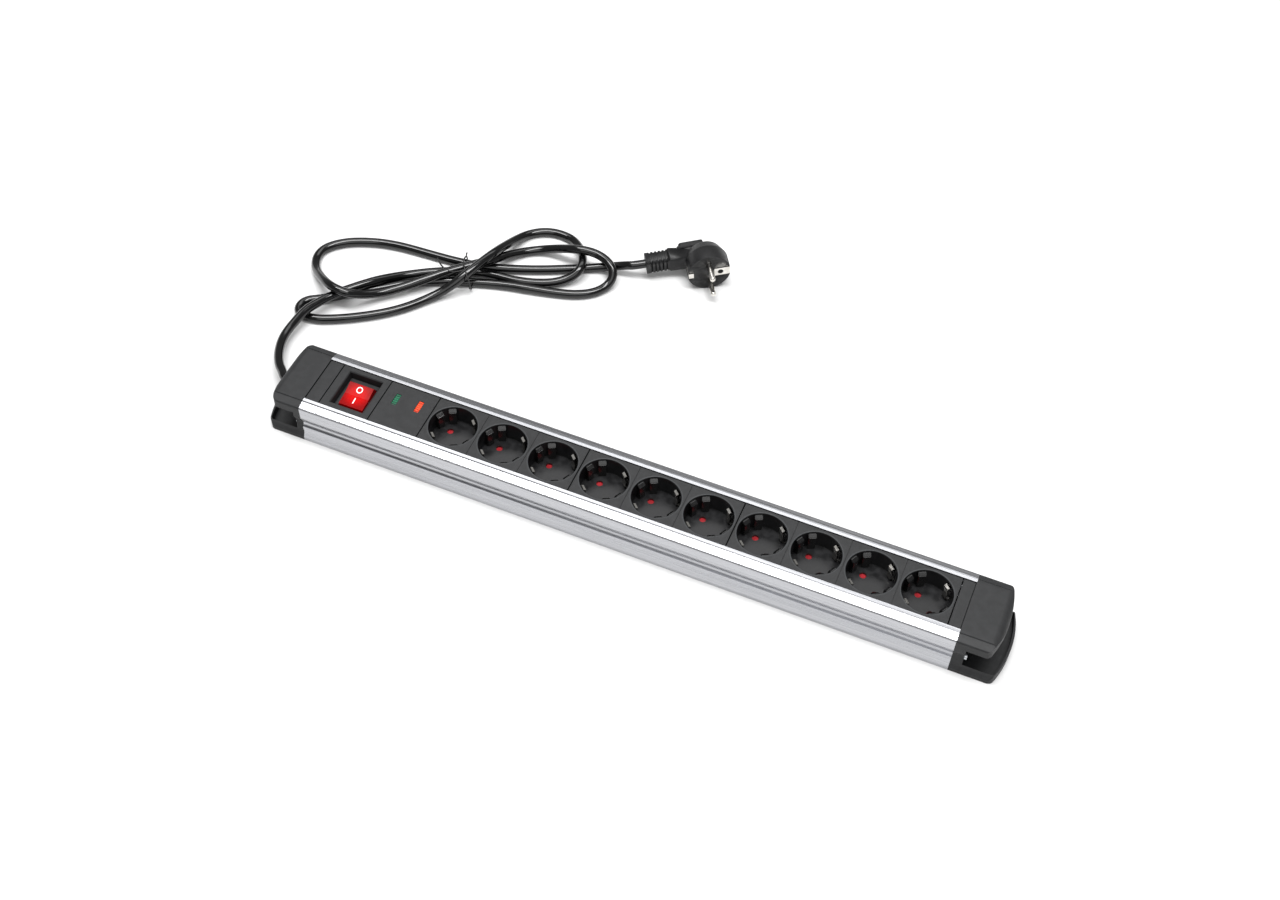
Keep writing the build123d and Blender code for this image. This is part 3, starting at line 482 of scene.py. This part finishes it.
outerRightLoop = [
    (-233.1, 178.3, 4), (-220.5, 182.7, 4), (-207.7, 186.9, 4), (-194.5, 190.1, 4.5), (-181, 192.7, 4.8),
    (-167.7, 195.5, 4.5), (-154.6, 198.8, 4), (-141.6, 202.4, 4), (-130.6, 207.5, 4), (-121.6, 214.8, 4),
    (-116.1, 223.1, 4.5), (-113.1, 229.8, 8), (-113.9, 235, 12), (-118, 239.3, 15.5),
    (-125.3, 243.8, 16.5), (-134.9, 246.4, 17), (-144.1, 244, 19.6), (-154.2, 242, 19),
    (-167.2, 243.4, 13), (-179.7, 243.7, 7), (-191.7, 239.8, 4.2), (-201.1, 233.2, 4.2),
    (-208.9, 223.6, 7), (-214.9, 212.9, 10.5), (-220.4, 203.9, 12.3), (-227.5, 198.1, 12.3),
    (-234.1, 191.5, 12.3), (-240.7, 184.7, 12.3), (-247.3, 178.2, 12.3), (-253.7, 171.3, 12.3),
]
upperLeftLoop = [
    (-262, 161.6, 11.6), (-271.3, 153, 9.5), (-280.5, 144.2, 8.5), (-289.9, 136.1, 7.5), (-298, 128.3, 9),
    (-305.5, 120.2, 13), (-313.1, 112.7, 18.5), (-322.9, 111, 21), (-333.5, 114.4, 20), (-347.1, 124.8, 13),
    (-359.1, 136.1, 6), (-365.6, 145.5, 4), (-368.4, 154.5, 4), (-367.1, 164.1, 4), (-360.5, 173, 4),
    (-349.7, 181.3, 4), (-335.3, 187.8, 4), (-320, 192.5, 4), (-302.4, 195.2, 4), (-283.9, 196.1, 4),
    (-267.3, 197, 4), (-257.6, 197.6, 4),
]
outToPlug = [
    (-243.3, 199, 4), (-229.5, 201.4, 4), (-216.3, 204.9, 4), (-201.3, 209.8, 4), (-186.7, 215.6, 4),
    (-172.4, 222, 4), (-158.3, 229, 4), (-145.4, 235.7, 4), (-132.4, 242.4, 4.5), (-118.5, 246.9, 7.5),
    (-106.2, 249.4, 11.5),
]
tailPoints = [(-100.66, 249.66, 13.23), (-91.38, 255.48, 14.28)]
cordPoints = [*leadPoints, *turnToBack, *leadOverHank, *innerRightLoop, *lowerLeftLoop, *outerRightLoop,
              *upperLeftLoop, *outToPlug, *tailPoints]
cordSet = {"thickness": 0.008, "length": 1.66, "exit": (-0.287, 0, 0.0209)}
lineSet = {"smooth": 6, "round": 5}    # steps along each run, and round a quarter of the cord


def nurbsLine(name, points, thickness):
    data = bpy.data.curves.new(name, "CURVE")
    data.dimensions = "3D"
    spline = data.splines.new("NURBS")
    spline.points.add(len(points) - 1)
    for point, place in zip(spline.points, points):
        point.co = (*(Vector(place) * mm), 1)
    spline.order_u = 3
    spline.use_endpoint_u = True
    data.resolution_u = lineSet["smooth"]
    data.bevel_depth = thickness / 2
    data.bevel_resolution = lineSet["round"]
    data.use_fill_caps = True
    piece = bpy.data.objects.new(name, data)
    scene.collection.objects.link(piece)
    return piece


def linePoints(points):
    # the smooth line that a cord of these points follows
    bare = nurbsLine("bare_line", points, 0)
    mesh = bpy.data.meshes.new_from_object(bare.evaluated_get(bpy.context.evaluated_depsgraph_get()))
    line = [vertex.co.copy() for vertex in mesh.vertices]
    bpy.data.objects.remove(bare)
    return line


def finishMesh(name, builder, surface, body, smooth=True):
    mesh = bpy.data.meshes.new(name)
    builder.to_mesh(mesh)
    builder.free()
    for face in mesh.polygons:
        face.use_smooth = smooth
    piece = bpy.data.objects.new(name, mesh)
    scene.collection.objects.link(piece)
    mesh.materials.append(surfaces[surface].material)
    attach(piece, body)
    return piece


def tubeAlong(name, line, radiusAt, sides, surface, twist=0, lobe=0):
    # a closed tube whose radius is a rule of the distance along its line; twist winds two lobes round it
    builder = bmesh.new()
    rings = []
    gone = 0.0
    side = Vector((0, 0, 1))
    for place, point in enumerate(line):
        if place:
            gone += (point - line[place - 1]).length
        ahead = (line[min(place + 1, len(line) - 1)] - line[max(place - 1, 0)]).normalized()
        side = (side - ahead * side.dot(ahead)).normalized()
        other = ahead.cross(side)
        radius = radiusAt(gone)
        ring = []
        for step in range(sides):
            turn = 2 * pi * step / sides
            swell = 1 + lobe * cos(2 * (turn - twist * gone))
            ring.append(builder.verts.new(point + (side * cos(turn) + other * sin(turn)) * radius * swell))
        rings.append(ring)
    for first, second in zip(rings, rings[1:]):
        for step in range(sides):
            after = (step + 1) % sides
            builder.faces.new((first[step], first[after], second[after], second[step]))
    builder.faces.new(list(reversed(rings[0])))
    builder.faces.new(rings[-1])
    bmesh.ops.recalc_face_normals(builder, faces=builder.faces)
    return finishMesh(name, builder, surface, "strip")


cord = nurbsLine("mains_cord", cordPoints, cordSet["thickness"])
cord.data.materials.append(surfaces["black_cord"].material)
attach(cord, "strip")
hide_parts("power_cord", "cord_tail", "cord_hank")

sleeveSet = {
    "start": 0.0005, "length": 0.024, "root": 0.0064, "tip": 0.0045, "ribs": 5, "ribDepth": 0.0006,
    "plainShare": 0.06, "steps": 72, "sides": 36,
}


def makeSleeve(sizes):
    # the ribbed strain relief tapers along the first run of the cord, inside the cap's open mouth
    line = linePoints(cordPoints)
    walk, gone, last = [], 0.0, line[0]
    steps = sizes["steps"]
    spots = [sizes["start"] + sizes["length"] * step / steps for step in range(steps + 1)]
    for point in line[1:]:
        run = (point - last).length
        while spots and gone + run >= spots[0] and run > 0:
            walk.append(last.lerp(point, (spots.pop(0) - gone) / run))
        gone += run
        last = point

    def radiusAt(distance):
        share = distance / sizes["length"]
        groove = (0.5 - 0.5 * cos(2 * pi * sizes["ribs"] * share)) * (share > sizes["plainShare"])
        return sizes["root"] + (sizes["tip"] - sizes["root"]) * share - sizes["ribDepth"] * groove

    tubeAlong("cord_sleeve", walk, radiusAt, sizes["sides"], "black_soft_pvc")


makeSleeve(sleeveSet)
print("cord and its strain relief laid")

plugSet = {
    "face": (-33.6, 263.4, 19.4), "turn": 32.1, "lean": 5.5,    # where the pins come out, and which way
    "flatFrom": 13.0, "flatten": 0.38, "neck": (-22.0, -12.0),
    "gripFrom": -8.0, "gripShorten": 0.66, "bootAxis": 24.0, "bootSwell": 1.15,
    "lip": (-23.6, 2.6), "lipHalf": 7.7, "lipDepth": (28.6, 31.6), "lipRound": 0.6, "lipFlat": 0.01,
    "merge": 0.000002, "crease": 32,
}


def plugFrame(sizes):
    # along runs away from the cord, out the way that the pins point
    turn, lean = radians(sizes["turn"]), radians(sizes["lean"])
    along = Vector((cos(turn) * cos(lean), sin(turn) * cos(lean), sin(lean)))
    out = Vector((sin(turn), -cos(turn), 0))
    return Vector(sizes["face"]), along, out.cross(along), out


def reshaped(name, source, rule, sizes):
    # a new piece from a solid's outline, each point moved by a rule of (along, up, depth) in the plug's frame
    face, along, up, out = plugFrame(sizes)
    builder = bmesh.new()
    builder.from_mesh(nodes[source].data)
    bmesh.ops.remove_doubles(builder, verts=builder.verts, dist=sizes["merge"])
    for vertex in builder.verts:
        gap = vertex.co / mm - face
        run, rise, depth = rule(gap.dot(along), gap.dot(up), -gap.dot(out), sizes)
        vertex.co = (face + along * run + up * rise - out * depth) * mm
    piece = finishMesh(name, builder, slotOf[source], "strip")
    piece.data.set_sharp_from_angle(angle=radians(sizes["crease"]))
    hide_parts(source)
    return piece


def shellRule(run, rise, depth, sizes):
    low, high = sizes["neck"]
    share = min(1, max(0, (run - low) / (high - low)))
    past = max(0, depth - sizes["flatFrom"])
    return run, rise, depth - past * sizes["flatten"] * share


def gripRule(run, rise, depth, sizes):
    start = sizes["gripFrom"]
    return (start + (run - start) * sizes["gripShorten"] if run > start else run), rise, depth


def bootRule(run, rise, depth, sizes):
    axis, swell = sizes["bootAxis"], sizes["bootSwell"]
    return run, rise * swell, axis + (depth - axis) * swell


def makeGripLip(sizes):
    face, along, up, out = plugFrame(sizes)
    builder = bmesh.new()
    half = sizes["lipHalf"]
    corners = [builder.verts.new((face + along * run + up * rise - out * depth) * mm)
               for run in sizes["lip"] for rise in (-half, half) for depth in sizes["lipDepth"]]
    bmesh.ops.convex_hull(builder, input=corners)
    bmesh.ops.dissolve_limit(builder, angle_limit=sizes["lipFlat"], verts=builder.verts, edges=builder.edges)
    bmesh.ops.bevel(builder, geom=list(builder.edges), offset=sizes["lipRound"] * mm, segments=3,
                    affect="EDGES")
    bmesh.ops.recalc_face_normals(builder, faces=builder.faces)
    return finishMesh("plug_grip_lip", builder, "black_soft_pvc", "strip", smooth=False)


# the moulding is flatter at the back than its plain solid, with a lipped finger grip and a full boot
plugPieces = [
    reshaped("plug_shell", "plug_body", shellRule, plugSet),
    reshaped("plug_grip", "plug_grip_pad", gripRule, plugSet),
    reshaped("plug_boot", "plug_strain_relief", bootRule, plugSet),
    makeGripLip(plugSet),
]
print("plug moulded")

# a wire tie goes round the five passes of the cord, in millimetres, and ends in a twist
tieLoop = [
    (-244.8, 206.4, 4.0), (-243.8, 203.7, 9.0), (-242.9, 197.2, 12.0), (-238.5, 188.1, 16.8),
    (-234.2, 181.2, 18.9), (-229.2, 174.2, 22.0), (-225.6, 169.6, 22.4), (-223.5, 168.0, 19.0),
    (-223.8, 169.8, 13.0), (-223.9, 172.0, 6.0), (-225.5, 175.5, 1.0), (-233.0, 188.0, 0.7),
    (-241.0, 202.0, 0.9), (-245.0, 206.9, 2.4),
]
tieEnd = [(-243.8, 203.7, 9.0), (-244.6, 205.4, 10.0), (-244.4, 206.6, 10.6)]
tieTail = [(-223.8, 169.8, 13.0), (-223.2, 168.4, 10.8), (-223.0, 167.2, 9.8)]
tieSpur = [
    (-266.6, 191.0, 8.4), (-262.1, 186.6, 8.8), (-257.8, 182.5, 10.4), (-253.4, 178.2, 13.4),
    (-246.0, 174.6, 15.8), (-239.4, 175.2, 17.0), (-234.2, 178.2, 18.4),
]
tieSet = {"wire": 0.0012, "twist": 2200, "lobe": 0.3, "step": 0.0004, "sides": 12}


def makeTie(sizes):
    made = []
    paths = {"tie_loop": tieLoop, "tie_tail": tieTail, "tie_end": tieEnd, "tie_spur": tieSpur}
    for name, points in paths.items():
        line = linePoints(points)
        fine = []
        for first, second in zip(line, line[1:]):
            count = max(1, round((second - first).length / sizes["step"]))
            fine += [first.lerp(second, part / count) for part in range(count)]
        fine.append(line[-1])
        made.append(tubeAlong(name, fine, lambda distance: sizes["wire"] / 2, sizes["sides"], "tie_wire",
                              sizes["twist"], sizes["lobe"]))
    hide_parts("cord_tie")
    return made


tiePieces = makeTie(tieSet)
print("tie twisted on")

# white marks printed on the rocker: a ring behind, a bar in front, in millimetres from its middle
markSet = {
    "ringPlace": (0, 4.7), "ringOuter": 2.75, "ringInner": 1.95, "ringSteps": 56,
    "barPlace": (0, -5.5), "barSize": (0.9, 5.4), "barSteps": 12,
    "lift": 0.05, "under": 0.01, "above": 20,    # how proud of the face they stand, and where they drop from
}


def onRocker(name, flatPoints, faces, sizes):
    # drops a flat outline on the rocker's face, a hair proud of it
    rocker = nodes["switch_rocker"]
    tree = BVHTree.FromPolygons([vertex.co for vertex in rocker.data.vertices],
                                [tuple(face.vertices) for face in rocker.data.polygons])
    centre = middle("switch_rocker")
    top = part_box("switch_rocker")[1].z + sizes["above"] * mm
    builder = bmesh.new()
    lower, upper = [], []
    for across, along in flatPoints:
        start = Vector((centre.x + across * mm, centre.y + along * mm, top))
        hit, normal, _, _ = tree.ray_cast(start, Vector((0, 0, -1)))
        normal = normal if normal.z > 0 else -normal
        lower.append(builder.verts.new(hit + normal * sizes["under"] * mm))
        upper.append(builder.verts.new(hit + normal * sizes["lift"] * mm))
    for face in faces:
        builder.faces.new([upper[corner] for corner in face])
        builder.faces.new([lower[corner] for corner in reversed(face)])
    edges = [edge for face in faces for edge in zip(face, face[1:] + face[:1])]
    for first, second in edges:
        if (second, first) not in edges:
            builder.faces.new((upper[second], upper[first], lower[first], lower[second]))
    bmesh.ops.recalc_face_normals(builder, faces=builder.faces)
    finishMesh(name, builder, "white_print", "switch_rocker", smooth=False)


def makeMarks(sizes):
    steps = sizes["ringSteps"]
    x, y = sizes["ringPlace"]
    ring, faces = [], []
    for radius in (sizes["ringInner"], sizes["ringOuter"]):
        for step in range(steps):
            turn = 2 * pi * step / steps
            ring.append((x + radius * cos(turn), y + radius * sin(turn)))
    for step in range(steps):
        after = (step + 1) % steps
        faces.append((step, steps + step, steps + after, after))
    onRocker("mark_ring", ring, faces, sizes)
    wide, long = sizes["barSize"]
    steps = sizes["barSteps"]
    x, y = sizes["barPlace"]
    bar, faces = [], []
    for step in range(steps + 1):
        along = y - long / 2 + long * step / steps
        bar += [(x - wide / 2, along), (x + wide / 2, along)]
    for step in range(steps):
        faces.append((2 * step, 2 * step + 1, 2 * step + 3, 2 * step + 2))
    onRocker("mark_bar", bar, faces, sizes)


makeMarks(markSet)
print("rocker marked")

rowSet = {"count": 10, "pitch": 0.044, "first": -0.154}    # one for every socket


def rowTree(name, inputs):
    # a new tree with a shape in, a shape out, and its sizes as named inputs
    tree = bpy.data.node_groups.new(name, "GeometryNodeTree")
    sockets = {}
    for way in ("INPUT", "OUTPUT"):
        tree.interface.new_socket("Geometry", in_out=way, socket_type="NodeSocketGeometry")
    for label, value in inputs.items():
        sockets[label] = tree.interface.new_socket(label, in_out="INPUT", socket_type="NodeSocketFloat")
        sockets[label].default_value = value
    return tree, tree.nodes.new("NodeGroupInput"), sockets


def closeRow(tree, entry, shape, count, surface):
    # sets the shape out along the strip and ends the tree
    made, links = tree.nodes, tree.links
    row = made.new("GeometryNodeMeshLine")
    row.inputs["Count"].default_value = count
    gap = made.new("ShaderNodeCombineXYZ")
    links.new(entry.outputs["Pitch"], gap.inputs["X"])
    links.new(gap.outputs[0], row.inputs["Offset"])
    start = made.new("ShaderNodeCombineXYZ")
    links.new(entry.outputs["First"], start.inputs["X"])
    links.new(entry.outputs["Level"], start.inputs["Z"])
    links.new(start.outputs[0], row.inputs["Start Location"])
    spread = made.new("GeometryNodeInstanceOnPoints")
    links.new(row.outputs["Mesh"], spread.inputs["Points"])
    links.new(shape, spread.inputs["Instance"])
    real = made.new("GeometryNodeRealizeInstances")
    links.new(spread.outputs["Instances"], real.inputs["Geometry"])
    paint = made.new("GeometryNodeSetMaterial")
    paint.inputs["Material"].default_value = surfaces[surface].material
    links.new(real.outputs["Geometry"], paint.inputs["Geometry"])
    leave = made.new("NodeGroupOutput")
    links.new(paint.outputs["Geometry"], leave.inputs["Geometry"])


def takeRow(name, source, tree, sockets, inputs, smooth):
    # the tree's result as a plain piece
    holder = bpy.data.objects.new(name + "_source", source)
    scene.collection.objects.link(holder)
    modifier = holder.modifiers.new("row", "NODES")
    modifier.node_group = tree
    for label, value in inputs.items():
        modifier[sockets[label].identifier] = value
    mesh = bpy.data.meshes.new_from_object(holder.evaluated_get(bpy.context.evaluated_depsgraph_get()))
    bpy.data.objects.remove(holder)
    for face in mesh.polygons:
        face.use_smooth = smooth
    piece = bpy.data.objects.new(name, mesh)
    scene.collection.objects.link(piece)
    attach(piece, "strip")
    return piece


springSet = {"turns": 3, "radius": 0.004, "wire": 0.00028, "turnSteps": 24, "wireSides": 8}


def makeSprings(sizes):
    # the fine return springs under the wells
    low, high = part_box("shutter_springs")
    wire = sizes["wire"]
    inputs = {"Turns": float(sizes["turns"]), "Radius": sizes["radius"], "Wire": wire,
              "Height": high.z - low.z - 2 * wire, "Pitch": rowSet["pitch"], "First": rowSet["first"],
              "Level": low.z + wire}
    tree, entry, sockets = rowTree("return_springs", inputs)
    made, links = tree.nodes, tree.links
    spiral = made.new("GeometryNodeCurveSpiral")
    spiral.inputs["Resolution"].default_value = sizes["turnSteps"]
    for label, socket in (("Turns", "Rotations"), ("Radius", "Start Radius"), ("Radius", "End Radius"),
                          ("Height", "Height")):
        links.new(entry.outputs[label], spiral.inputs[socket])
    ring = made.new("GeometryNodeCurvePrimitiveCircle")
    ring.inputs["Resolution"].default_value = sizes["wireSides"]
    links.new(entry.outputs["Wire"], ring.inputs["Radius"])
    tube = made.new("GeometryNodeCurveToMesh")
    tube.inputs["Fill Caps"].default_value = True
    links.new(spiral.outputs["Curve"], tube.inputs["Curve"])
    links.new(ring.outputs["Curve"], tube.inputs["Profile Curve"])
    closeRow(tree, entry, tube.outputs["Mesh"], rowSet["count"], "spring_steel")
    blank = bpy.data.meshes.new("spring_blank")
    piece = takeRow("return_springs", blank, tree, sockets, inputs, True)
    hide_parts("shutter_springs")
    return piece


springs = makeSprings(springSet)
print("springs wound,", len(springs.data.polygons), "faces")

# the pairs of guide ribs up the back and front of every well, in millimetres
ribSet = {
    "turns": (117.5, 152.5, 297.5, 332.5), "wall": 19.9, "deep": 3.9, "wide": 6.2, "foot": 24.2, "top": 40.2,
    "slope": 1.8, "level": 1.2, "edge": 0.45,
}


def ribBlank(sizes):
    # four upright bars round the origin, each with its top cut down towards the middle of the well
    builder = bmesh.new()
    back, front, half = sizes["wall"], sizes["wall"] - sizes["deep"], sizes["wide"] / 2
    low, high = sizes["foot"], sizes["top"]
    outline = [(front, low), (back, low), (back, high), (back - sizes["level"], high),
               (front, high - sizes["slope"])]
    for turn in sizes["turns"]:
        spin = Matrix.Rotation(radians(turn), 3, "Z")
        sides = [[builder.verts.new(spin @ Vector((x, y, z)) * mm) for x, z in outline]
                 for y in (-half, half)]
        builder.faces.new(sides[0])
        builder.faces.new(list(reversed(sides[1])))
        for step in range(len(outline)):
            after = (step + 1) % len(outline)
            builder.faces.new((sides[0][step], sides[1][step], sides[1][after], sides[0][after]))
    bmesh.ops.recalc_face_normals(builder, faces=builder.faces)
    bmesh.ops.bevel(builder, geom=list(builder.edges), offset=sizes["edge"] * mm, segments=2, affect="EDGES")
    mesh = bpy.data.meshes.new("rib_blank")
    builder.to_mesh(mesh)
    builder.free()
    return mesh


def makeRibs(sizes):
    inputs = {"Pitch": rowSet["pitch"], "First": rowSet["first"], "Level": 0.0}
    tree, entry, sockets = rowTree("guide_ribs", inputs)
    closeRow(tree, entry, entry.outputs["Geometry"], rowSet["count"], "black_rib")
    return takeRow("guide_ribs", ribBlank(sizes), tree, sockets, inputs, False)


ribs = makeRibs(ribSet)
print("guide ribs set out,", len(ribs.data.polygons), "faces")
